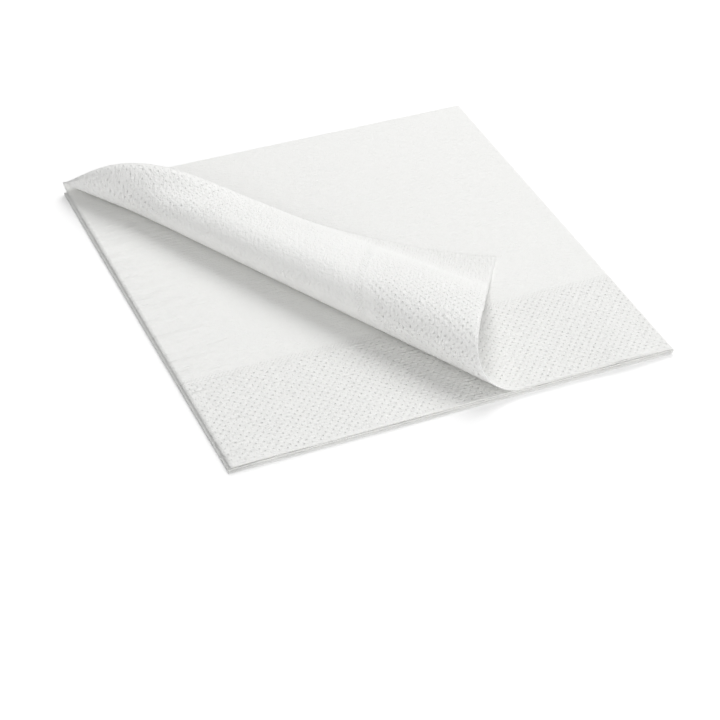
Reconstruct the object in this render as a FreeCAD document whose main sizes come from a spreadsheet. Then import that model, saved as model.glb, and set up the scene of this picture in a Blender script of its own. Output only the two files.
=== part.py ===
# Quarter-folded paper napkin with one corner turned back, in millimetres.
# The sheet is folded in half at the back, then again at the right, so four leaves lie on
# each other. The top leaf's free corner rolls back over that leaf. The origin is the centre
# of the resting face, X runs along the open front, Y runs to the first fold, and Z points up.
import FreeCAD, Part
import math
import os
import Sketcher

os.makedirs("parts", exist_ok=True)
doc = FreeCAD.newDocument("paper_napkin")

# Driving dimensions, lengths in millimetres and turns in degrees
SIZES = {
    "side": 165.0,            # folded napkin, a 330 mm sheet folded twice
    "leaf": 0.4,              # one leaf of two-ply embossed tissue
    "fold_gap": 0.3,          # air between the two leaves of a pair
    "pair_gap": 0.4,          # air between the lower and the upper pair
    "front_step": 0.6,        # inner leaves stand this far back from the front
    "left_step": 0.8,         # upper pair stands this far back from the left
    "crease_back": 9.3,       # where the bend starts along the back, from the left side
    "crease_front": 104.65,   # where the bend starts along the front, from the left side
    "apex_reach": 224.4,      # the rulings meet this far past the back end of the crease
    "rise_radius": 9.75,      # first stretch of the roll, its radii taken at the front edge
    "rise_turn": 142.5,
    "crown_radius": 34.2,     # slacker stretch over the top
    "crown_turn": 17.9,
    "laydown_radius": 19.5,   # stretch that brings the flap down on the leaf
    "lift_radius": 33.3,      # the flap eases up again towards its tip
    "rest_gap": 0.5,          # air under the lowest part of the flap
    "tip_width": 2.0,         # blunt end of the sheet's corner
    "fold_belly": 0.5,        # share of its height that the first fold bellies out at its lift
}


def make_sheet():
    """Spreadsheet with one alias for each driving dimension."""
    table = doc.addObject("Spreadsheet::Sheet", "sizes")
    for row, (alias, value) in enumerate(SIZES.items(), start=1):
        table.set(f"A{row}", alias)
        table.set(f"B{row}", str(value))
        table.setAlias(f"B{row}", alias)
    doc.recompute()
    return table


sheet = make_sheet()

# Expressions that several features share
HALF_STACK = "(2 * sizes.leaf + sizes.fold_gap + sizes.pair_gap / 2)"
FOLD_START = "(sizes.side / 2 - sizes.leaf - sizes.fold_gap / 2)"
WRAP_START = f"(sizes.side / 2 - {HALF_STACK})"

# How far a cutting outline reaches past the paper
MARGIN = 5.0

# Stations along the bend: round the lifted fold, across its lift, and along the free edges
LOOP_STEPS = 12
LIFT_STEPS = 12
EDGE_STEPS = 60

# Narrow strips along the rulings that the bent leaf's faces are laid in
LIFT_STRIPS = 4
EDGE_STRIPS = 18

# The landing turn is found by halving the range between none and half a turn
LARGEST_LANDING = 180.0
HALVINGS = 40

# Directions of the napkin's frame
BACKWARD = FreeCAD.Vector(0, 1, 0)
LEFTWARD = FreeCAD.Vector(-1, 0, 0)
DOWNWARD = FreeCAD.Vector(0, 0, -1)

# Vertex and geometry numbers of a sketch
START, END, CENTRE = 1, 2, 3
ORIGIN = (-1, START)
AXES = {"DistanceX": -2, "DistanceY": -1}


def new_sketch(body, name, role):
    """Empty sketch on one of the body's own origin planes."""
    sketch = body.newObject("Sketcher::SketchObject", name)
    plane = next(item for item in body.Origin.OriginFeatures if item.Role == role)
    sketch.AttachmentSupport = [(plane, "")]
    sketch.MapMode = "FlatFace"
    return sketch


def dimension(sketch, kind, places, expression, guess=1.0):
    """Adds one dimension and binds it to an expression of the sheet."""
    index = sketch.addConstraint(Sketcher.Constraint(kind, *places, guess))
    sketch.setExpression(f"Constraints[{index}]", expression)


def add_line(sketch, first, last):
    """Adds a straight edge and returns its number."""
    segment = Part.LineSegment(FreeCAD.Vector(*first, 0), FreeCAD.Vector(*last, 0))
    return sketch.addGeometry(segment, False)


def add_half_turn(sketch, centre, radius):
    """Adds a half circle that bulges to the back and returns its number."""
    circle = Part.Circle(FreeCAD.Vector(*centre, 0), FreeCAD.Vector(0, 0, 1), radius)
    return sketch.addGeometry(Part.ArcOfCircle(circle, -math.pi / 2, math.pi / 2), False)


def pair_section(body, name, above):
    """Section of one pair of leaves, joined at the back by a round fold.

    The sketch's horizontal axis is the axis of the second fold. The pair's outer leaf, the
    one further from that axis, is the longer one. above is 1 for the upper pair, else -1.
    """
    sketch = new_sketch(body, name, "YZ_Plane")
    sketch.setExpression("AttachmentOffset.Base.y", HALF_STACK)
    sketch.setExpression("AttachmentOffset.Base.z", WRAP_START)
    inner_radius = sheet.fold_gap / 2
    outer_radius = sheet.leaf + inner_radius
    front, back = -sheet.side / 2, sheet.side / 2 - outer_radius
    top = 2 * outer_radius + sheet.pair_gap / 2
    depths = (0, sheet.leaf, sheet.leaf + sheet.fold_gap, 2 * outer_radius)
    face, under, over, last = (above * (top - depth) for depth in depths)
    middle = (face + last) / 2
    outside = add_line(sketch, (front, face), (back, face))
    big = add_half_turn(sketch, (back, middle), outer_radius)
    inside = add_line(sketch, (back, last), (front, last))
    short_end = add_line(sketch, (front, last), (front, over))
    short_face = add_line(sketch, (front, over), (back, over))
    small = add_half_turn(sketch, (back, middle), inner_radius)
    long_face = add_line(sketch, (back, under), (front, under))
    long_end = add_line(sketch, (front, under), (front, face))
    far, near = (END, START) if above > 0 else (START, END)
    joins = [
        ("Tangent", outside, END, big, far),
        ("Tangent", big, near, inside, START),
        ("Coincident", inside, END, short_end, START),
        ("Coincident", short_end, END, short_face, START),
        ("Tangent", short_face, END, small, near),
        ("Tangent", small, far, long_face, START),
        ("Coincident", long_face, END, long_end, START),
        ("Coincident", long_end, END, outside, START),
        ("Coincident", big, CENTRE, small, CENTRE),
        ("Horizontal", outside),
        ("Horizontal", inside),
        ("Horizontal", short_face),
        ("Horizontal", long_face),
        ("Vertical", short_end),
        ("Vertical", long_end),
    ]
    for join in joins:
        sketch.addConstraint(Sketcher.Constraint(*join))
    leaf_ends = [(outside, START), (long_end, START)]
    stack_ends = [(outside, START), ORIGIN]
    if above > 0:
        leaf_ends.reverse()
        stack_ends.reverse()
    dimension(sketch, "Radius", (small,), "sizes.fold_gap / 2", inner_radius)
    dimension(sketch, "DistanceX", (*ORIGIN, big, CENTRE), FOLD_START, back)
    dimension(sketch, "DistanceX", (outside, START, *ORIGIN), "sizes.side / 2", -front)
    dimension(sketch, "DistanceX", (short_end, START, *ORIGIN),
              "sizes.side / 2 - sizes.front_step", -front)
    dimension(sketch, "DistanceY", (*leaf_ends[0], *leaf_ends[1]), "sizes.leaf", sheet.leaf)
    dimension(sketch, "DistanceY", (*stack_ends[0], *stack_ends[1]), HALF_STACK, top)
    return sketch


def cutting_outline(body, name, corners):
    """Closed outline on the napkin's top plane, measured from past its front left corner.

    Each corner is a pair of expressions, or None where it lies on an axis of the sketch.
    """
    sketch = new_sketch(body, name, "XY_Plane")
    for axis in "xy":
        sketch.setExpression(f"AttachmentOffset.Base.{axis}", f"-sizes.side / 2 - {MARGIN}")
    sketch.setExpression("AttachmentOffset.Base.z", f"2 * {HALF_STACK}")
    count = len(corners)
    angles = [2 * math.pi * index / count for index in range(count + 1)]
    rough = [(sheet.side * (1 + math.cos(a)), sheet.side * (1 + math.sin(a))) for a in angles]
    edges = [add_line(sketch, rough[i], rough[i + 1]) for i in range(count)]
    for edge in edges:
        following = edges[(edge + 1) % count]
        sketch.addConstraint(Sketcher.Constraint("Coincident", edge, END, following, START))
    for edge, corner in zip(edges, corners):
        for kind, expression in zip(AXES, corner):
            if expression is None:
                on_axis = Sketcher.Constraint("PointOnObject", edge, START, AXES[kind])
                sketch.addConstraint(on_axis)
            else:
                dimension(sketch, kind, (*ORIGIN, edge, START), expression, sheet.side)
    return sketch


def add_feature(body, kind, name, profile, size, expression, backwards=False):
    """Pad, pocket or revolution whose length or angle follows an expression."""
    feature = body.newObject(f"PartDesign::{kind}", name)
    feature.Profile = profile
    feature.Reversed = backwards
    feature.setExpression(size, expression)
    return feature


def folded_leaves():
    """Four leaves joined by their folds, without the corner that is turned back."""
    body = doc.addObject("PartDesign::Body", "folded_leaves")
    lower = pair_section(body, "lower_pair_section", -1)
    upper = pair_section(body, "upper_pair_section", 1)
    run = f"sizes.side / 2 + {WRAP_START}"
    add_feature(body, "Pad", "lower_pair", lower, "Length", run, backwards=True)
    wrap = add_feature(body, "Revolution", "second_fold", lower, "Angle", "180", backwards=True)
    wrap.ReferenceAxis = (lower, ["H_Axis"])
    add_feature(body, "Pad", "upper_pair", upper, "Length", f"{run} - sizes.left_step",
                backwards=True)
    bend_back = f"sizes.crease_back + {MARGIN}"
    bend_front = f"sizes.crease_front + {MARGIN}"
    fold_line = f"sizes.side / 2 + {FOLD_START} + {MARGIN}"
    past_back = f"sizes.side + 2 * {MARGIN}"
    corner = cutting_outline(body, "turned_corner_outline", [
        (bend_back, fold_line), (bend_front, f"{MARGIN}"), (bend_front, None), (None, None),
        (None, fold_line)])
    add_feature(body, "Pocket", "turned_corner", corner, "Length",
                "sizes.leaf + sizes.fold_gap / 2")
    fold = cutting_outline(body, "lifted_fold_outline", [
        (bend_back, fold_line), (bend_back, past_back), (None, past_back), (None, fold_line)])
    add_feature(body, "Pocket", "lifted_fold", fold, "Length", HALF_STACK)
    return body


def spaced(first, last, count):
    """Evenly spaced values, both ends among them."""
    return [first + (last - first) * index / count for index in range(count + 1)]


class Roll:
    """The turned-back corner: a bend that keeps every length on the leaf's middle surface.

    All its rulings pass through one far apex, so the roll widens towards the front. A place on
    the flat leaf has a distance from the apex and an angle past the crease. The distance stays
    as it is, and the angle advances a frame of ruling, heading and normal, which turns towards
    the normal as fast as the radius of each stretch says.
    """

    def __init__(self):
        half = sheet.side / 2
        self.level = stack_height() - sheet.leaf / 2
        self.fold_line = half - sheet.leaf - sheet.fold_gap / 2
        self.left = sheet.left_step - half
        self.front = -half
        self.crease_top = FreeCAD.Vector(sheet.crease_back - half, self.fold_line, self.level)
        self.crease_end = FreeCAD.Vector(sheet.crease_front - half, self.front, self.level)
        ruling = (self.crease_end - self.crease_top).normalize()
        heading = FreeCAD.Vector(ruling.y, -ruling.x, 0)
        self.flat_frame = (ruling, heading, FreeCAD.Vector(0, 0, 1))
        self.apex = self.crease_top - ruling * sheet.apex_reach
        self.reach = (self.crease_end - self.apex).Length
        self.stretches = []
        self.tip_angle = self.blunt_tip_angle()
        self.stretches = self.all_stretches(self.landing_turn())

    def stretch(self, radius, turn):
        """Bend rate per unit of developed angle, and the developed angle it lasts for."""
        return self.reach / radius, math.radians(turn) * radius / self.reach

    def all_stretches(self, landing_turn):
        """Rise, crown and lay-down, then the gentle reverse bend that lifts the tip."""
        whole_turn = 360
        return [
            self.stretch(sheet.rise_radius, sheet.rise_turn),
            self.stretch(sheet.crown_radius, sheet.crown_turn),
            self.stretch(sheet.laydown_radius, landing_turn),
            self.stretch(-sheet.lift_radius, -whole_turn),
        ]

    def flat_direction(self, angle):
        """Direction of a ruling on the flat leaf."""
        ruling, heading, _ = self.flat_frame
        return ruling * math.cos(angle) + heading * math.sin(angle)

    def developed(self, x, y):
        """Distance from the apex and angle past the crease of a place on the flat leaf."""
        ruling, heading, _ = self.flat_frame
        arm = FreeCAD.Vector(x, y, self.level) - self.apex
        return arm.Length, math.atan2(arm.dot(heading), arm.dot(ruling))

    def frame(self, angle):
        """Ruling, heading and normal of the bent leaf at a developed angle."""
        ruling, heading, normal = self.flat_frame
        left_over = max(angle, 0)
        for rate, length in self.stretches:
            step = min(left_over, length)
            axis = (normal + ruling * rate) * -1
            turn = FreeCAD.Rotation(axis, math.degrees(step * axis.Length))
            ruling, heading, normal = (turn.multVec(v) for v in (ruling, heading, normal))
            left_over -= step
            if left_over <= 0:
                break
        return ruling, heading, normal

    def place(self, x, y, offset=0.0):
        """Bent place of a point of the flat leaf, offset along the normal."""
        distance, angle = self.developed(x, y)
        ruling, _, normal = self.frame(angle)
        return self.apex + ruling * distance + normal * offset

    def blunt_tip_angle(self):
        """Developed angle of the ruling that cuts the sheet's corner to its blunt width."""
        _, corner_angle = self.developed(self.left, self.front)
        direction = self.flat_direction(corner_angle)
        _, angle = self.developed(self.left, self.front - direction.y * sheet.tip_width)
        return angle

    def on_line(self, angle, x=None, y=None):
        """Where the ruling of a developed angle meets a line of constant x or y."""
        direction = self.flat_direction(angle)
        if x is None:
            return self.apex.x + direction.x * (y - self.apex.y) / direction.y, y
        return x, self.apex.y + direction.y * (x - self.apex.x) / direction.x

    def landing_turn(self):
        """Lay-down turn that brings the flap's lowest part to its rest gap, by halving."""
        target = sheet.leaf + sheet.rest_gap
        low, high = 0.0, LARGEST_LANDING
        for _ in range(HALVINGS):
            middle = (low + high) / 2
            self.stretches = self.all_stretches(middle)
            if self.flap_clearance() > target:
                low = middle
            else:
                high = middle
        return (low + high) / 2

    def flap_clearance(self):
        """Least height of the flap's left edge over the leaf, past the roll's crown."""
        crown = sum(length for _, length in self.stretches[:2])
        edge = [self.on_line(a, x=self.left) for a in spaced(crown, self.tip_angle, EDGE_STEPS)]
        return min(self.place(*spot).z - self.level for spot in edge)


def stack_height():
    """Height of the four leaves and the air between them."""
    return 4 * sheet.leaf + 2 * sheet.fold_gap + sheet.pair_gap


def curve_through(points, pace):
    """Smooth curve through points. Two curves of one pace stay in step for ruled faces."""
    curve = Part.BSplineCurve()
    curve.interpolate(Points=points, Parameters=pace)
    return curve


def cut_curve(curve, cuts):
    """Edges of a curve between each two following parameters."""
    edges = []
    for first, last in zip(cuts, cuts[1:]):
        piece = curve.copy()
        piece.segment(first, last)
        edges.append(piece.toShape())
    return edges


def ruled_faces(first_edges, second_edges):
    """Straight-lined faces between two rows of edges that are in step."""
    return [Part.makeRuledSurface(*pair) for pair in zip(first_edges, second_edges)]


def fold_loop(roll, angle):
    """Middle line of the first fold where the end of a ruling lifts off the leaf below.

    The loop leaves the bent leaf along its own slope and enters the leaf below level. At the
    start of the bend it is the half circle of the closed fold.
    """
    x, y = roll.on_line(angle, y=roll.fold_line)
    ruling, heading, _ = roll.frame(angle)
    flat = roll.flat_direction(angle)
    across = FreeCAD.Vector(flat.y, -flat.x, 0)
    slope = ruling * BACKWARD.dot(flat) + heading * BACKWARD.dot(across)
    upper = roll.place(x, y)
    lower = FreeCAD.Vector(x, y, roll.level - sheet.leaf - sheet.fold_gap)
    closed = (sheet.leaf + sheet.fold_gap) / 2
    middle, arm = (upper + lower) * 0.5, (upper - lower) * 0.5
    belly = closed + (arm.Length - closed) * sheet.fold_belly
    points = []
    for turn in spaced(0, math.pi, LOOP_STEPS):
        upper_share = (1 + math.cos(turn)) / 2
        pull = (slope * upper_share + BACKWARD * (1 - upper_share)) * belly
        points.append(middle + arm * math.cos(turn) + pull * math.sin(turn))
    return points


def loop_normals(roll, angles, loops):
    """Outward normals of the lifted fold, square to its loops and to the way they advance.

    The first loop lies in a plane across X, and every loop ends level on the leaf below.
    """
    last = len(loops) - 1
    rows = []
    for i, loop in enumerate(loops):
        row = [roll.frame(angles[i])[2]]
        for j in range(1, len(loop) - 1):
            along = loop[j + 1] - loop[j - 1]
            advance = loops[min(i + 1, last)][j] - loops[i - 1][j] if i else LEFTWARD
            row.append(along.cross(advance).normalize())
        row.append(DOWNWARD)
        rows.append(row)
    return rows


class Skin:
    """One face of the bent leaf, at an offset from its middle: strips and boundary edges."""

    def __init__(self, roll, loops, normals, angles, side_angles, offset):
        grid = [[p + n * offset for p, n in zip(*rows)] for rows in zip(loops, normals)]
        fold = Part.BSplineSurface()
        fold.interpolate(grid)
        _, _, first_v, last_v = fold.bounds()
        lifted = fold.vIso(first_v)
        pace = [lifted.parameter(row[0]) for row in grid]
        cuts = spaced(pace[0], pace[-1], LIFT_STRIPS)
        self.faces = []
        for first_u, last_u in zip(cuts, cuts[1:]):
            strip = fold.copy()
            strip.segment(first_u, last_u, first_v, last_v)
            self.faces.append(strip.toShape())
        front = [roll.place(*roll.on_line(a, y=roll.front), offset) for a in angles]
        self.front = cut_curve(curve_through(front, pace), cuts)
        self.faces += ruled_faces(cut_curve(lifted, cuts), self.front)
        side_front = [roll.place(*roll.on_line(a, y=roll.front), offset) for a in side_angles]
        side_left = [roll.place(*roll.on_line(a, x=roll.left), offset) for a in side_angles]
        side_cuts = spaced(side_angles[0], side_angles[-1], EDGE_STRIPS)
        self.side_front = cut_curve(curve_through(side_front, side_angles), side_cuts)
        self.side_left = cut_curve(curve_through(side_left, side_angles), side_cuts)
        self.faces += ruled_faces(self.side_left, self.side_front)
        self.fold_side = [fold.uIso(cuts[-1]).toShape()]
        self.fold_start = [fold.uIso(cuts[0]).toShape()]
        self.fold_foot = cut_curve(fold.vIso(last_v), cuts)
        self.crease = [Part.makeLine(grid[0][0], front[0])]
        self.tip = [Part.makeLine(side_left[-1], side_front[-1])]


def closing_face(first, second):
    """Flat face between two edges that lie side by side in one plane."""
    ends = [(e.valueAt(e.FirstParameter), e.valueAt(e.LastParameter)) for e in (first, second)]
    (a, b), (c, d) = ends
    bridges = [Part.makeLine(a, c), Part.makeLine(b, d)]
    loop = Part.sortEdges([first, second] + bridges)[0]
    return Part.Face(Part.Wire(loop))


def turned_corner():
    """Solid of the turned-back corner, with the stretch of the first fold that it lifts."""
    roll = Roll()
    corner_angle = roll.developed(roll.left, roll.fold_line)[1]
    angles = spaced(0, corner_angle, LIFT_STEPS)
    side_angles = spaced(corner_angle, roll.tip_angle, EDGE_STEPS)
    loops = [fold_loop(roll, angle) for angle in angles]
    normals = loop_normals(roll, angles, loops)
    half = sheet.leaf / 2
    upper, lower = (Skin(roll, loops, normals, angles, side_angles, h) for h in (half, -half))
    faces = upper.faces + lower.faces
    for name in ("fold_start", "fold_foot", "crease", "tip"):
        faces += [closing_face(*pair) for pair in zip(getattr(upper, name), getattr(lower, name))]
    for name in ("fold_side", "front", "side_front", "side_left"):
        faces += ruled_faces(getattr(upper, name), getattr(lower, name))
    shell = Part.makeCompound(faces)
    shell.sewShape()
    corner = doc.addObject("Part::Feature", "turned_corner_sheet")
    corner.Shape = Part.Solid(shell)
    return corner


def napkin():
    """The whole sheet: its folded leaves and its turned-back corner as one solid."""
    whole = doc.addObject("Part::Fuse", "paper_napkin")
    whole.Base = folded_leaves()
    whole.Tool = turned_corner()
    whole.Refine = True
    return whole


def check(item):
    """Stops with a plain message if an object failed or is not one sound solid."""
    for other in doc.Objects:
        if {"Invalid", "Error"} & set(other.State):
            raise RuntimeError(f"{other.Name} failed: {other.State}")
    shape = item.Shape
    if shape.isNull() or not shape.isValid() or len(shape.Solids) != 1:
        raise RuntimeError(f"{item.Label} is not one sound solid")


paper_napkin = napkin()
doc.recompute()
check(paper_napkin)
paper_napkin.Shape.Solids[0].exportStep(f"parts/{paper_napkin.Label}.step")
sheet_area = paper_napkin.Shape.Volume / sheet.leaf
print(f"{paper_napkin.Label}: {len(paper_napkin.Shape.Faces)} faces, sheet area {sheet_area:.0f} mm2")
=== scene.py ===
import math

import bmesh
import bpy
import numpy as np
from mathutils import Matrix, Vector


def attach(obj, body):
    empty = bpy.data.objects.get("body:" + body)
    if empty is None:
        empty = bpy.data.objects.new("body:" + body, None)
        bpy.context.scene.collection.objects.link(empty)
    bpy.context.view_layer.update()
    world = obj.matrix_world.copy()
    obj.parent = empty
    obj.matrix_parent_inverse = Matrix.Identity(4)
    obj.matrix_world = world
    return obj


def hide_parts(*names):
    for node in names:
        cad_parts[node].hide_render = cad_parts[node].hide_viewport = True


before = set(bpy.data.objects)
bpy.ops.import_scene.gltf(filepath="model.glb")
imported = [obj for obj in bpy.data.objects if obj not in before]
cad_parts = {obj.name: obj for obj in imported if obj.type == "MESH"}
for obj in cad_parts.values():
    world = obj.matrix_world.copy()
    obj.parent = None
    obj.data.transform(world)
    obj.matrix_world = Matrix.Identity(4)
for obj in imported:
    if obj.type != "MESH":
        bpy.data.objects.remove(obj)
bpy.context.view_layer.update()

MM = 0.001

# The folded napkin, in millimetres: the sheet is folded in half at the back, then at the right.
# Its four leaves lie in two pairs. The first fold joins the leaves of each pair at the back, and
# the second fold joins the two pairs at the right.
SIDE = 165.0
LEAF = 0.4
FOLD_GAP = 0.3
PAIR_GAP = 0.4
FRONT_STEP = 0.6
LEFT_STEP = 0.8
FLAT_SHEET = 2 * SIDE

# Middle surfaces: the height of the second fold's axis, the first fold's radius, how far a
# pair's middle lies from that axis, where the two folds start, and the top leaf's height
STACK_AXIS = 2 * LEAF + FOLD_GAP + PAIR_GAP / 2
FOLD_RADIUS = (LEAF + FOLD_GAP) / 2
PAIR_MIDDLE = PAIR_GAP / 2 + LEAF + FOLD_GAP / 2
FOLD_LINE = SIDE / 2 - LEAF - FOLD_GAP / 2
WRAP_LINE = SIDE / 2 - STACK_AXIS
TOP_LEVEL = STACK_AXIS + PAIR_MIDDLE + FOLD_RADIUS

# Way over the sheet. Across runs from the upper pair's left edge round the second fold to the
# lower pair's left edge. Along runs from the outer leaf's front edge round the first fold.
UPPER_WIDTH = WRAP_LINE + SIDE / 2 - LEFT_STEP
WRAP_WAY = math.pi * PAIR_MIDDLE
LOWER_WIDTH = WRAP_LINE + SIDE / 2
WHOLE_ACROSS = UPPER_WIDTH + WRAP_WAY + LOWER_WIDTH
OUTER_LENGTH = FOLD_LINE + SIDE / 2
FOLD_WAY = math.pi * FOLD_RADIUS
INNER_LENGTH = OUTER_LENGTH - FRONT_STEP
WHOLE_ALONG = OUTER_LENGTH + FOLD_WAY + INNER_LENGTH

# The turned-back corner: where its crease meets the back and the front, counted from the left
# side, and how far past the crease's back end its rulings meet. Then its bend, stretch by
# stretch: a radius at the front edge and a turn in degrees, both negative where it bends back
# up. Each stretch passes softly into the next.
CREASE_BACK = 10.5
CREASE_FRONT = 107.0
APEX_REACH = 225.6
BEND = ((13.19, 70.7), (8.65, 67.4), (12.22, 43.4), (55.7, 38.4), (-32.5, -90.0))
BEND_SOFTNESS = 3.0
BEND_STEPS = 1200

# Share of its height that the first fold bellies out where the corner lifts it
FOLD_BELLY = 0.15

# The roll's back end: its corner droops down and to the left, past the crease, and the free edge
# beyond it arches up. Both fade with the distance from their middle.
DROOP = np.array([-2.3, 0.0, -2.9])
DROOP_SPREAD = 19.7
DROOP_START = 10.0
ARCH = np.array([-1.6, 0.7, 6.2])
ARCH_FROM_BACK = 38.0
ARCH_SPREAD = (29.1, 6.6)

# Embossing: dots in diagonal rows, pressed in from both faces. A cell is the distance between
# dots that lie in line with an edge. The scatter numbers vary the dots' depth without a pattern.
DOT_CELL = 2.9
DOT_RADIUS = 0.75
DOT_DEPTH = 0.13
DOT_SCATTER = (12.9898, 78.233)
FRONT_BAND = 42.5
LEFT_BAND = 25.0
EDGE_MARGIN = 1.8

# How clear the dots are on the top leaf: faint in its left front corner, full from there across
# it, and less clear from there along its left band
FAINT_DOTS = 0.4
FULL_DOTS_ACROSS = (40.0, 54.0)
LEFT_DOTS_ALONG = (85.0, 105.0)
LEFT_DOTS = 0.85

# Relief that is too fine for the mesh: the dots' cores, how far they reach over the margin, how
# softly a band starts on a pressed leaf and on the turned corner, and a row of finer dots beside
# it, whose depth is a share of the cores'
CORE_RADIUS = 0.52
CORE_DEPTH = 0.34
CORE_OVERHANG = 0.6
BAND_START = 0.5
BAND_FADE = 7.0
FINE_RADIUS = 0.42
FINE_DEPTH = 0.4
FINE_ROW = 2.6

# Soft noise in the tissue: lumps to the millimetre across and along the sheet, and its height
LYING_CREPE = ((0.3, 1.1, 1), 0.2)
STANDING_CREPE = ((0.75, 0.8, 1), 0.17)
FIBRES = ((1.5, 2.0, 1), 0.09)
RIPPLES = ((0.04, 0.3, 1), 1.0)

# Factor on the crepe and fibres on a pressed plain leaf, what the bands and freedom add to it,
# and the heights between which a leaf comes free
CREPE_PRESSED = 1.6
CREPE_IN_BANDS = 0.9
CREPE_FREE = 1.2
FREE_HEIGHTS = (TOP_LEVEL + 1, TOP_LEVEL + 6)

# Ripples on the leaf below the corner: their height at its left edge, how far they reach from
# it, and where they set in, counted from the back
RIPPLE_HEIGHT = 1.9
RIPPLE_REACH = 32.0
RIPPLES_FROM_BACK = (8.0, 50.0)

# Air under each leaf over the lowest one: its greatest height, the length of its waves along
# the front, and their shift as a share of a wave. It fades from the front edge to the back, and
# the folds and the roll press it out beside them.
AIR = ((0.25, 61.0, 0.1), (0.3, 47.0, 0.45), (0.9, 66.0, 0.12))
AIR_FADE = 24.0
PRESSED_FOLD = 22.0
PRESSED_ROLL = (6.0, 26.0)

# Lines of the mesh over each fold's round
WRAP_LINES = 9
FOLD_LINES = 13

# Lamps: name, place and width in metres, power in watts
LAMPS = (("soft_window", (0.35, 0.55, 0.9), 0.7, 7.7),
         ("front_fill", (-0.3, -0.9, 0.5), 0.8, 4.8),
         ("right_fill", (0.9, -0.5, 0.4), 0.7, 3.0))
ROOM_LIGHT = 0.285

# The floor's half width, and the distances from its middle, in metres, between which its own
# glow grows from the first strength to the second
FLOOR_REACH = 3.0
FLOOR_GLOW_FROM = (0.18, 0.6)
FLOOR_GLOW = (0.2, 1.0)

# The photograph's view: the camera's turn, rise and roll in degrees, the place on the top leaf
# that it looks at, its distance from there, and its lens
VIEW_ANGLES = (-26.7, 39.5, 3.32)
VIEW_TARGET = (-21.36, -48.81, TOP_LEVEL + LEAF / 2)
VIEW_DISTANCE = 698.74
LENS = 103.24
SENSOR_WIDTH = 36


def linear(code):
    """Linear colour of an sRGB hex code."""
    parts = [int(code[i:i + 2], 16) / 255 for i in (1, 3, 5)]
    return [c / 12.92 if c <= 0.04045 else ((c + 0.055) / 1.055) ** 2.4 for c in parts] + [1.0]


def add_node(tree, kind, links=None, **settings):
    """Adds a node, sets its properties, and fills or links its inputs by name or number."""
    node = tree.nodes.new(kind)
    for name, value in settings.items():
        setattr(node, name, value)
    for name, value in (links or {}).items():
        socket = node.inputs[name]
        if isinstance(value, bpy.types.NodeSocket):
            tree.links.new(value, socket)
        else:
            socket.default_value = value
    return node


def arithmetic(tree, operation, *values):
    """Result of one step of arithmetic over sockets and numbers."""
    return add_node(tree, "ShaderNodeMath", dict(enumerate(values)), operation=operation).outputs[0]


def ramp(tree, value, start, end, low=0.0, high=1.0):
    """Passes evenly from low, where the value is at the start, to high, where it is at the end."""
    return add_node(tree, "ShaderNodeMapRange", {
        "Value": value, "From Min": start, "From Max": end, "To Min": low,
        "To Max": high}).outputs[0]


def smooth(value):
    """Rises from 0 to 1 with level ends, as three squares less two cubes."""
    value = np.clip(value, 0, 1)
    return value * value * (3 - 2 * value)


def smooth_between(value, limits):
    """Rises smoothly from 0 at the first limit to 1 at the second."""
    first, second = limits
    return smooth((value - first) / (second - first))


def turned(vectors, axis, angle):
    """Vectors turned about an axis: the part along it stays, the rest goes round with it."""
    axis = axis / np.linalg.norm(axis)
    along = vectors @ axis
    return (vectors * math.cos(angle) + np.cross(axis, vectors) * math.sin(angle)
            + np.outer(along, axis) * (1 - math.cos(angle)))


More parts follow.
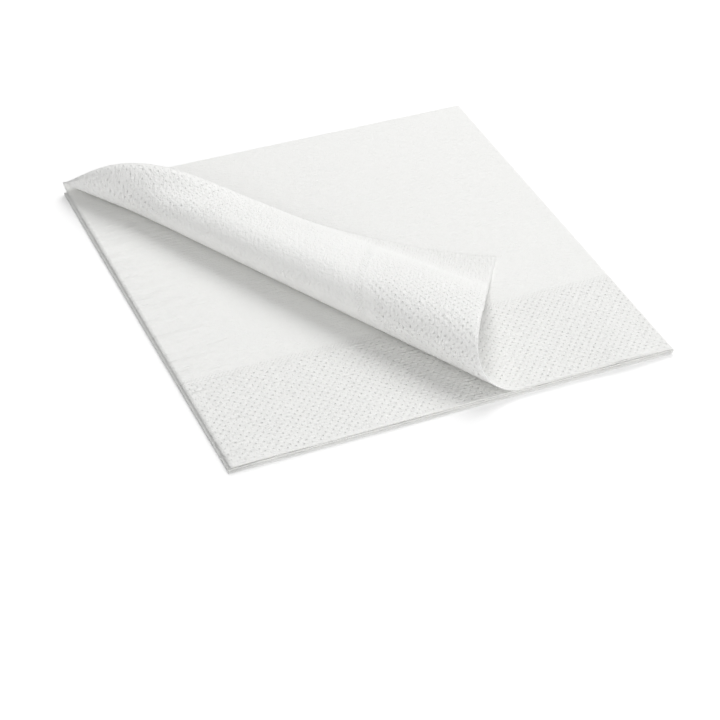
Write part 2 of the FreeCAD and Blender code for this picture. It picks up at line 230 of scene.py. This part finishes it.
class Roll:
    """The turned-back corner, a bend that keeps every length on the leaf.

    Every ruling passes through one far apex. A place on the flat leaf has a distance from the
    apex and an angle past the crease. The distance stays, and the frame of ruling, heading and
    normal turns with the angle, as fast as the bend's radius there says.
    """

    def __init__(self):
        top = np.array([CREASE_BACK - SIDE / 2, FOLD_LINE, TOP_LEVEL])
        end = np.array([CREASE_FRONT - SIDE / 2, -SIDE / 2, TOP_LEVEL])
        self.ruling = (end - top) / np.linalg.norm(end - top)
        self.heading = np.array([self.ruling[1], -self.ruling[0], 0])
        self.apex = top - self.ruling * APEX_REACH
        self.reach = np.linalg.norm(end - self.apex)
        self.soft = BEND_SOFTNESS / self.reach
        self.angles, self.frames = self.all_frames()

    def all_frames(self):
        """Frames at even steps of the angle. The bend's rates pass softly into each other."""
        lengths = [math.radians(turn) * radius / self.reach for radius, turn in BEND]
        starts = np.cumsum([0.0, *lengths])
        angles, step = np.linspace(-self.soft / 2, starts[-1], BEND_STEPS + 1, retstep=True)
        rates = np.zeros(BEND_STEPS)
        last_rate = 0.0
        for (radius, _), start in zip(BEND, starts):
            rate = self.reach / radius
            rates += (rate - last_rate) * smooth((angles[1:] - step / 2 - start) / self.soft + 0.5)
            last_rate = rate
        flat = np.array([self.ruling, self.heading, [0, 0, 1]])
        basis = turned(flat, -flat[2], angles[0])
        frames = [basis]
        for rate in rates:
            axis = -(basis[2] + basis[0] * rate)
            basis = turned(basis, axis, step * np.linalg.norm(axis))
            frames.append(basis)
        return angles, np.array(frames)

    def polar(self, x, y):
        """Distance from the apex and angle past the crease of flat places."""
        arm = np.stack([x - self.apex[0], y - self.apex[1], np.zeros_like(x)], axis=-1)
        return np.linalg.norm(arm, axis=-1), np.arctan2(arm @ self.heading, arm @ self.ruling)

    def frame(self, angle):
        """Ruling, heading and normal at each angle."""
        start = self.angles[0]
        at = np.maximum(angle, start)
        rows = self.frames.reshape(len(self.frames), 9)
        parts = np.stack([np.interp(at, self.angles, column) for column in rows.T], axis=-1)
        basis = parts.reshape(-1, 3, 3)
        basis = basis / np.linalg.norm(basis, axis=-1, keepdims=True)
        flat = np.minimum(angle - start, 0)[:, None]
        ruling = basis[:, 0] * np.cos(flat) + basis[:, 1] * np.sin(flat)
        return ruling, basis[:, 1], basis[:, 2]

    def place(self, x, y, lift):
        """Places on the bent leaf: along the ruling from the apex, lifted along the normal."""
        distance, angle = self.polar(x, y)
        ruling, _, normal = self.frame(angle)
        return self.apex + ruling * distance[:, None] + normal * lift[:, None]

    def back_slope(self, x):
        """Bent direction of the way to the back, where the leaf meets the first fold."""
        _, angle = self.polar(x, np.full_like(x, FOLD_LINE))
        bent = np.maximum(angle, self.angles[0])[:, None]
        flat = self.ruling * np.cos(bent) + self.heading * np.sin(bent)
        ruling, heading, _ = self.frame(bent[:, 0])
        return ruling * flat[:, 1:2] - heading * flat[:, :1]


ROLL = Roll()


def embossed(across, along):
    """Where the dotted bands lie: along every front edge, and down the top leaf's left edge."""
    front = np.minimum(along, WHOLE_ALONG - along)
    side = np.minimum(across, WHOLE_ACROSS - across)
    in_front = front < FRONT_BAND
    on_left = (across < LEFT_BAND) & (along < OUTER_LENGTH - EDGE_MARGIN)
    return (in_front | on_left) & (front > EDGE_MARGIN) & (side > EDGE_MARGIN)


def clear_share(across, along):
    """How clear the dots are: full on the pressed leaves and on the roll's front, faint on the
    flat of the turned corner, and less than full down the top leaf's left edge."""
    on_roll = FAINT_DOTS + (1 - FAINT_DOTS) * smooth_between(across, FULL_DOTS_ACROSS)
    on_left = FAINT_DOTS + (LEFT_DOTS - FAINT_DOTS) * smooth_between(along, LEFT_DOTS_ALONG)
    return np.where(along > OUTER_LENGTH, 1.0, np.maximum(on_roll, on_left))


def dimple(across, along):
    """Depth of the embossed dots: a smooth pit round the nearest crossing of the rows."""
    first, second = (across + along) / DOT_CELL, (across - along) / DOT_CELL
    near_first, near_second = np.round(first), np.round(second)
    away = np.hypot(first - near_first, second - near_second) * DOT_CELL / math.sqrt(2)
    centre_across = (near_first + near_second) * DOT_CELL / 2
    centre_along = (near_first - near_second) * DOT_CELL / 2
    strength = 0.8 + 0.2 * np.sin(DOT_SCATTER[0] * near_first + DOT_SCATTER[1] * near_second)
    depth = DOT_DEPTH * strength * clear_share(across, along)
    pit = depth * (1 - smooth(away / DOT_RADIUS))
    return np.where(embossed(centre_across, centre_along), pit, 0)


def middle_surface(across, along):
    """Folded place of the sheet's middle: its section goes round the first fold, and the whole
    section then goes round the axis of the second fold, except where the corner is turned.
    Leaves count from 0 at the floor to 3 on top."""
    wrap = np.clip((across - UPPER_WIDTH) / WRAP_WAY, 0, 1) * math.pi
    fold = np.clip((along - OUTER_LENGTH) / FOLD_WAY, 0, 1) * math.pi
    past_wrap = np.maximum(across - UPPER_WIDTH - WRAP_WAY, 0)
    past_fold = np.maximum(along - OUTER_LENGTH - FOLD_WAY, 0)
    x = np.minimum(across, UPPER_WIDTH) - SIDE / 2 + LEFT_STEP - past_wrap
    y = np.minimum(along, OUTER_LENGTH) - SIDE / 2 - past_fold
    height = PAIR_MIDDLE + FOLD_RADIUS * np.cos(fold)
    closed = np.stack([x + height * np.sin(wrap), y + FOLD_RADIUS * np.sin(fold),
                       STACK_AXIS + height * np.cos(wrap)], axis=-1)
    leaf = np.where(wrap < math.pi / 2, np.where(fold < math.pi / 2, 3, 2),
                    np.where(fold < math.pi / 2, 0, 1))
    lift = held_air(x, y, leaf)
    closed[:, 2] += lift
    on_top = (wrap == 0) & (along <= OUTER_LENGTH)
    in_fold = (wrap == 0) & (along > OUTER_LENGTH) & (past_fold == 0)
    closed[on_top] = top_leaf(x[on_top], y[on_top], lift[on_top])
    closed[in_fold] = lifted_fold(x[in_fold], fold[in_fold])
    return closed


def held_air(x, y, leaf):
    """Height that each leaf is held up by the air under it. Each layer of air is a row of soft
    waves that grows towards the front, and the layers add up, so no leaf meets another. Nothing
    is under the turned corner, past the crease on the top leaf."""
    _, angle = ROLL.polar(x, y)
    beside = smooth_between(np.abs(angle) * ROLL.reach, PRESSED_ROLL)
    open_share = (np.exp(-(y + SIDE / 2) / AIR_FADE) * beside
                  * smooth((FOLD_LINE - y) / PRESSED_FOLD) * smooth((WRAP_LINE - x) / PRESSED_FOLD))
    open_share = np.where((leaf == 3) & (angle > 0), 0, open_share)
    total = np.zeros_like(x)
    for layer, (height, length, shift) in enumerate(AIR):
        wave = height * (0.5 + 0.5 * np.cos(2 * math.pi * (x / length - shift)))
        total += np.where(leaf > layer, wave, 0)
    return total * open_share


def top_leaf(x, y, lift):
    """The top leaf, bent as the roll says, with its drooping corner and the arch beside it. Both
    are bells: e to the minus square of the distance from their middle over their spread."""
    past_left, past_back = x + SIDE / 2 - LEFT_STEP, FOLD_LINE - y
    distance, angle = ROLL.polar(x, y)
    droop = np.exp(-(past_left**2 + past_back**2) / DROOP_SPREAD**2)
    droop = droop * smooth(distance * angle / DROOP_START)
    along_edge, across_edge = ARCH_SPREAD
    arch = np.exp(-((past_back - ARCH_FROM_BACK) / along_edge)**2 - (past_left / across_edge)**2)
    return ROLL.place(x, y, lift) + droop[:, None] * DROOP + arch[:, None] * ARCH


def lifted_fold(x, turn):
    """The first fold where the turned corner pulls it open: from the bent leaf's slope, round a
    loop that is as wide as the leaf stands off, and level into the leaf below."""
    at_fold = np.full_like(x, FOLD_LINE)
    upper = top_leaf(x, at_fold, np.zeros_like(x))
    lower = np.stack([x, at_fold, np.full_like(x, TOP_LEVEL - 2 * FOLD_RADIUS)], axis=-1)
    middle, arm = (upper + lower) / 2, (upper - lower) / 2
    belly = FOLD_RADIUS + (np.linalg.norm(arm, axis=-1) - FOLD_RADIUS) * FOLD_BELLY
    share = (1 + np.cos(turn))[:, None] / 2
    pull = ROLL.back_slope(x) * share + np.array([0, 1, 0]) * (1 - share)
    return middle + arm * np.cos(turn)[:, None] + pull * (belly * np.sin(turn))[:, None]


def surface_normals(across, along):
    """Normals of the middle surface, from its slopes over a small step each way."""
    step = 0.01
    over = middle_surface(across + step, along) - middle_surface(across - step, along)
    on = middle_surface(across, along + step) - middle_surface(across, along - step)
    normal = np.cross(over, on)
    return normal / np.linalg.norm(normal, axis=-1, keepdims=True)


def grid_lines(start, end, pitch):
    """Lines at whole multiples of a pitch, with both ends among them."""
    inner = np.arange(math.floor(start / pitch) + 1, math.ceil(end / pitch)) * pitch
    return np.concatenate([[start], inner, [end]])


def flat_grid():
    """The sheet laid flat. Its lines lie half a dot's cell apart where dots can show, and wider
    on the plain inner leaves and on the lower pair."""
    half, wide = DOT_CELL / 2, 2 * DOT_CELL
    fold_end = OUTER_LENGTH + FOLD_WAY
    wrap_end = UPPER_WIDTH + WRAP_WAY
    inner_band = WHOLE_ALONG - math.ceil(FRONT_BAND / half) * half
    across = np.unique(np.concatenate([
        grid_lines(0, UPPER_WIDTH, half), np.linspace(UPPER_WIDTH, wrap_end, WRAP_LINES),
        grid_lines(wrap_end, WHOLE_ACROSS, 3 * wide)]))
    along = np.unique(np.concatenate([
        grid_lines(0, OUTER_LENGTH, half), np.linspace(OUTER_LENGTH, fold_end, FOLD_LINES),
        grid_lines(fold_end, inner_band, wide), grid_lines(inner_band, WHOLE_ALONG, half)]))
    count = len(across)
    places = np.stack(np.meshgrid(across, along), axis=-1).reshape(-1, 2)
    corner = (np.arange(len(along) - 1)[:, None] * count + np.arange(count - 1)).ravel()
    cells = np.stack([corner, corner + 1, corner + count + 1, corner + count], axis=-1)
    mesh = bpy.data.meshes.new("flat_sheet")
    mesh.from_pydata(np.c_[places, np.zeros(len(places))].tolist(), [], cells.tolist())
    return mesh


def refine_bands(mesh):
    """Cuts every cell of the visible embossed bands into four. The leaf below the top one shows
    only as far as the crease."""
    net = bmesh.new()
    net.from_mesh(mesh)
    hidden = CREASE_FRONT + 2 * DOT_CELL
    chosen = set()
    for face in net.faces:
        across, along, _ = face.calc_center_median()
        shown = along < OUTER_LENGTH or across < hidden
        if across < UPPER_WIDTH and shown and embossed(np.float64(across), np.float64(along)):
            chosen.update(face.edges)
    bmesh.ops.subdivide_edges(net, edges=list(chosen), cuts=1, use_grid_fill=True)
    net.to_mesh(mesh)
    net.free()


def rim_edges(mesh):
    """Both ends of every edge on the sheet's rim, in the order of the face that it belongs to."""
    net = bmesh.new()
    net.from_mesh(mesh)
    loops = [edge.link_loops[0] for edge in net.edges if edge.is_boundary]
    rim = [(loop.vert.index, loop.link_loop_next.vert.index) for loop in loops]
    net.free()
    return rim


def solid_sheet(name):
    """Closed sheet: both faces of the folded surface, and the rim that joins them. Its map is
    the sheet laid flat."""
    mesh = flat_grid()
    refine_bands(mesh)
    count = len(mesh.vertices)
    flat = np.empty(count * 3)
    mesh.vertices.foreach_get("co", flat)
    across, along = flat.reshape(-1, 3)[:, :2].T
    middle, normal = middle_surface(across, along), surface_normals(across, along)
    thick = (LEAF / 2 - dimple(across, along))[:, None]
    faces = [tuple(face.vertices) for face in mesh.polygons]
    rim = rim_edges(mesh)
    bpy.data.meshes.remove(mesh)
    places = np.concatenate([middle + normal * thick, middle - normal * thick]) * MM
    polygons = faces + [tuple(v + count for v in reversed(face)) for face in faces]
    polygons += [(b, a, a + count, b + count) for a, b in rim]
    solid = bpy.data.meshes.new(name)
    solid.from_pydata(places.tolist(), [], polygons)
    solid.polygons.foreach_set("use_smooth", np.ones(len(polygons), dtype=bool))
    corners = np.empty(len(solid.loops), dtype=np.int32)
    solid.loops.foreach_get("vertex_index", corners)
    spots = np.stack([across, along], axis=-1)[corners % count] / FLAT_SHEET
    solid.uv_layers.new(name="sheet").data.foreach_set("uv", spots.ravel())
    solid.update()
    piece = bpy.data.objects.new(name, solid)
    bpy.context.scene.collection.objects.link(piece)
    return piece


def tissue_paper():
    """Bleached two-ply tissue: creped and soft, so matt, with light that sinks in a little. Its
    colour carries a painted highlight, whitest where the turned corner stands free, for the light
    that shines through it, and painted shade in the dots' cores, a little greyer for the shade in
    the pits along with the pressed tissue's own greyer tone."""
    material = bpy.data.materials.new("creped_tissue_paper")
    material.use_nodes = True
    tree = material.node_tree
    shader = tree.nodes["Principled BSDF"]
    spot = add_node(tree, "ShaderNodeUVMap", uv_map="sheet").outputs["UV"]
    lengths = (FLAT_SHEET, FLAT_SHEET, 0)
    place = add_node(tree, "ShaderNodeVectorMath", {0: spot, 1: lengths},
                     operation="MULTIPLY").outputs[0]
    axes = add_node(tree, "ShaderNodeSeparateXYZ", {0: place})
    across, along = axes.outputs[0], axes.outputs[1]
    free = free_share(tree)
    cores, bands = emboss_pattern(tree, place, across, along, free)
    crepe = crepe_height(tree, place, across, along, free, bands)
    height = arithmetic(tree, "MULTIPLY_ADD", cores, -CORE_DEPTH, crepe)
    bump = add_node(tree, "ShaderNodeBump", {"Strength": 1.0, "Distance": MM, "Height": height})
    # Painted highlight: the colour is whiter where the turned corner stands free, for the light that
    # shines through it.
    colour_with_painted_highlight = mixed_colour(tree, free, linear("#F4F4F2"), linear("#FAFAF8"))
    # Painted shade: the dots' cores are greyer for the shade in their pits, and a little for the
    # pressed tissue's own greyer tone.
    colour_with_painted_light_and_shade = mixed_colour(tree, cores, colour_with_painted_highlight, linear("#EFEFED"))
    tree.links.new(colour_with_painted_light_and_shade, shader.inputs["Base Color"])
    tree.links.new(bump.outputs["Normal"], shader.inputs["Normal"])
    shader.inputs["Roughness"].default_value = 0.95
    shader.inputs["Specular IOR Level"].default_value = 0.1
    shader.inputs["Subsurface Weight"].default_value = 0.25
    shader.inputs["Subsurface Radius"].default_value = (1.0, 1.0, 1.0)
    shader.inputs["Subsurface Scale"].default_value = 0.6 * MM
    return material


def mixed_colour(tree, share, first, second):
    """Colour socket between two colours or colour sockets."""
    mix = add_node(tree, "ShaderNodeMix", data_type="RGBA")
    sockets = [socket for socket in mix.inputs if socket.type == "RGBA"]
    tree.links.new(share, mix.inputs[0])
    for socket, colour in zip(sockets, (first, second)):
        if isinstance(colour, bpy.types.NodeSocket):
            tree.links.new(colour, socket)
        else:
            socket.default_value = colour
    return [socket for socket in mix.outputs if socket.type == "RGBA"][0]


def emboss_dots(tree, place, cell, radius):
    """Round pits at every crossing of the diagonal rows, 1 at a pit's middle, 0 outside it."""
    to_rows = math.sqrt(2) / cell
    half = (0.5, 0.5, 0)
    turn = {"Rotation": (0, 0, math.radians(45)), "Scale": (to_rows, to_rows, 1)}
    rows = add_node(tree, "ShaderNodeMapping", {"Vector": place, **turn}).outputs[0]
    shifted = add_node(tree, "ShaderNodeVectorMath", {0: rows, 1: half}, operation="ADD").outputs[0]
    part = add_node(tree, "ShaderNodeVectorMath", {0: shifted}, operation="FRACTION").outputs[0]
    off = add_node(tree, "ShaderNodeVectorMath", {0: part, 1: half}, operation="SUBTRACT").outputs[0]
    away = add_node(tree, "ShaderNodeVectorMath", {0: off}, operation="LENGTH").outputs["Value"]
    return add_node(tree, "ShaderNodeMapRange", {"Value": away, "From Min": radius * to_rows,
                                                 "From Max": 0.15 * radius * to_rows},
                    interpolation_type="SMOOTHSTEP").outputs[0]


def emboss_pattern(tree, place, across, along, free):
    """Depth share of the dots' cores, and where the bands lie: along the front edges and down the
    top leaf's left edge. Some cores are pressed less than others, on the turned corner they fade
    in from a band's inner side, and a finer row runs along each front band's inner side."""
    from_end = arithmetic(tree, "SUBTRACT", WHOLE_ALONG, along)
    front = arithmetic(tree, "MINIMUM", along, from_end)
    clear_from = arithmetic(tree, "MULTIPLY_ADD", free, -BAND_FADE, FRONT_BAND - BAND_START)
    in_front = ramp(tree, front, FRONT_BAND + BAND_START, clear_from)
    left = ramp(tree, across, LEFT_BAND + BAND_START, LEFT_BAND - BAND_FADE)
    top = arithmetic(tree, "LESS_THAN", along, OUTER_LENGTH - EDGE_MARGIN)
    on_left = arithmetic(tree, "MULTIPLY", left, top)
    bands = arithmetic(tree, "MAXIMUM", in_front, on_left)

    from_side = arithmetic(tree, "SUBTRACT", WHOLE_ACROSS, across)
    side = arithmetic(tree, "MINIMUM", across, from_side)
    edge = arithmetic(tree, "MINIMUM", front, side)
    inside = arithmetic(tree, "GREATER_THAN", edge, EDGE_MARGIN - CORE_OVERHANG)
    patchy = add_node(tree, "ShaderNodeTexNoise", {"Vector": place, "Scale": 0.35, "Detail": 1.0})
    press = ramp(tree, patchy.outputs[0], 0.3, 0.7, 0.45, 1.1)
    clear = arithmetic(tree, "GREATER_THAN", along, OUTER_LENGTH)
    for share in (ramp(tree, across, *FULL_DOTS_ACROSS, FAINT_DOTS),
                  ramp(tree, along, *LEFT_DOTS_ALONG, FAINT_DOTS, LEFT_DOTS)):
        clear = arithmetic(tree, "MAXIMUM", clear, share)
    cores = emboss_dots(tree, place, DOT_CELL, CORE_RADIUS)
    for factor in (bands, inside, press, clear):
        cores = arithmetic(tree, "MULTIPLY", cores, factor)

    fine = emboss_dots(tree, place, DOT_CELL / 2, FINE_RADIUS)
    in_row = arithmetic(tree, "COMPARE", front, FRONT_BAND + FINE_ROW / 2, FINE_ROW / 2)
    fine = arithmetic(tree, "MULTIPLY", fine, in_row)
    fine = arithmetic(tree, "MULTIPLY", fine, FINE_DEPTH)
    return arithmetic(tree, "MAXIMUM", cores, fine), bands


def noise_height(tree, place, scale, height, roughness=0.6):
    """Soft noise of a given height, in millimetres, with its own scale each way."""
    spread = add_node(tree, "ShaderNodeMapping", {"Vector": place, "Scale": scale})
    noise = add_node(tree, "ShaderNodeTexNoise", {"Vector": spread.outputs[0], "Scale": 1.0,
                                                  "Detail": 1.0, "Roughness": roughness})
    return arithmetic(tree, "MULTIPLY", noise.outputs[0], height)


def crepe_height(tree, place, across, along, free, bands):
    """Crepe wrinkles across the sheet, fibres, and ripples by the left edge, in millimetres. The
    wrinkles stand up more in the bands, and where nothing presses the leaf."""
    lying = noise_height(tree, place, *LYING_CREPE)
    standing = noise_height(tree, place, *STANDING_CREPE)
    # Inputs 2 and 3 are the two numbers that the node mixes
    crepe = add_node(tree, "ShaderNodeMix", {0: free, 2: lying, 3: standing}).outputs[0]
    wrinkles = arithmetic(tree, "ADD", crepe, noise_height(tree, place, *FIBRES))
    rise = arithmetic(tree, "MULTIPLY_ADD", bands, CREPE_IN_BANDS, CREPE_PRESSED)
    rise = arithmetic(tree, "MULTIPLY_ADD", free, CREPE_FREE, rise)
    ripples = noise_height(tree, place, *RIPPLES, roughness=0.5)
    set_in, full = (OUTER_LENGTH + way for way in RIPPLES_FROM_BACK)
    for share in (ramp(tree, across, 0.0, RIPPLE_REACH, RIPPLE_HEIGHT, 0.0),
                  ramp(tree, along, set_in, full)):
        ripples = arithmetic(tree, "MULTIPLY", ripples, share)
    return arithmetic(tree, "MULTIPLY_ADD", wrinkles, rise, ripples)


def free_share(tree):
    """1 where the turned corner stands free of the leaf below, 0 where the leaves lie pressed."""
    spot = add_node(tree, "ShaderNodeTexCoord").outputs["Object"]
    level = add_node(tree, "ShaderNodeSeparateXYZ", {0: spot}).outputs[2]
    low, high = (height * MM for height in FREE_HEIGHTS)
    return ramp(tree, level, low, high)


def white_floor():
    """Pale floor that keeps the napkin's soft shadow and reads white where nothing shades it. The
    camera also sees a glow of its own, which is weak under the shadow and full far away."""
    mesh = bpy.data.meshes.new("floor")
    reach = FLOOR_REACH
    corners = [(-reach, -reach, 0), (reach, -reach, 0), (reach, reach, 0), (-reach, reach, 0)]
    mesh.from_pydata(corners, [], [(0, 1, 2, 3)])
    floor = bpy.data.objects.new("floor", mesh)
    bpy.context.scene.collection.objects.link(floor)
    material = bpy.data.materials.new("white_paper_sweep")
    material.use_nodes = True
    tree = material.node_tree
    tree.nodes.clear()
    matt = add_node(tree, "ShaderNodeBsdfDiffuse", {"Color": linear("#F2F2F2")})
    path = add_node(tree, "ShaderNodeLightPath")
    spot = add_node(tree, "ShaderNodeTexCoord").outputs["Object"]
    away = add_node(tree, "ShaderNodeVectorMath", {0: spot}, operation="LENGTH").outputs["Value"]
    strength = ramp(tree, away, *FLOOR_GLOW_FROM, *FLOOR_GLOW)
    glow = add_node(tree, "ShaderNodeEmission", {"Color": (1, 1, 1, 1), "Strength": strength})
    both = add_node(tree, "ShaderNodeAddShader", {0: matt.outputs[0], 1: glow.outputs[0]})
    seen = add_node(tree, "ShaderNodeMixShader", {0: path.outputs["Is Camera Ray"],
                                                  1: matt.outputs[0], 2: both.outputs[0]})
    add_node(tree, "ShaderNodeOutputMaterial", {"Surface": seen.outputs[0]})
    mesh.materials.append(material)


def studio_light():
    """An even pale room, a soft window above and behind on the right, and two weak lamps from the
    front and the right that fill its shadows. The camera sees the room as white."""
    world = bpy.data.worlds.new("pale_studio")
    bpy.context.scene.world = world
    world.use_nodes = True
    tree = world.node_tree
    tree.nodes.clear()
    path = add_node(tree, "ShaderNodeLightPath")
    seen = path.outputs["Is Camera Ray"]
    for ray in ("Is Glossy Ray", "Is Transmission Ray"):
        seen = arithmetic(tree, "MAXIMUM", seen, path.outputs[ray])
    strength = ramp(tree, seen, 0.0, 1.0, ROOM_LIGHT, 1.0)
    glow = add_node(tree, "ShaderNodeBackground", {"Color": (1, 1, 1, 1), "Strength": strength})
    add_node(tree, "ShaderNodeOutputWorld", {"Surface": glow.outputs[0]})
    for lamp in LAMPS:
        soft_lamp(*lamp)


def soft_lamp(name, spot, size, watts):
    """Square soft lamp that faces the napkin."""
    data = bpy.data.lights.new(name, "AREA")
    data.size = size
    data.energy = watts
    light = bpy.data.objects.new(name, data)
    bpy.context.scene.collection.objects.link(light)
    light.location = spot
    light.rotation_euler = Vector(spot).to_track_quat("Z", "Y").to_euler()


def place_camera():
    """Camera in front on the left, looking down on the napkin and slightly rolled."""
    turn, rise, roll = (math.radians(angle) for angle in VIEW_ANGLES)
    target = Vector(VIEW_TARGET) * MM
    back = Vector((math.sin(turn) * math.cos(rise), -math.cos(turn) * math.cos(rise),
                   math.sin(rise)))
    right = (-back).cross(Vector((0, 0, 1))).normalized()
    up = right.cross(-back)
    rolled_right = right * math.cos(roll) + up * math.sin(roll)
    rolled_up = up * math.cos(roll) - right * math.sin(roll)
    camera = bpy.data.objects.new("camera", bpy.data.cameras.new("camera"))
    bpy.context.scene.collection.objects.link(camera)
    axes = Matrix((rolled_right, rolled_up, back)).transposed().to_4x4()
    camera.matrix_world = Matrix.Translation(target + back * VIEW_DISTANCE * MM) @ axes
    camera.data.lens = LENS
    camera.data.sensor_width = SENSOR_WIDTH
    bpy.context.scene.camera = camera


napkin = solid_sheet("napkin_sheet")
napkin.data.materials.append(tissue_paper())
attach(napkin, "root")
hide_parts("paper_napkin")

white_floor()
studio_light()
place_camera()
bpy.context.scene.view_settings.view_transform = "Standard"

bpy.context.view_layer.update()
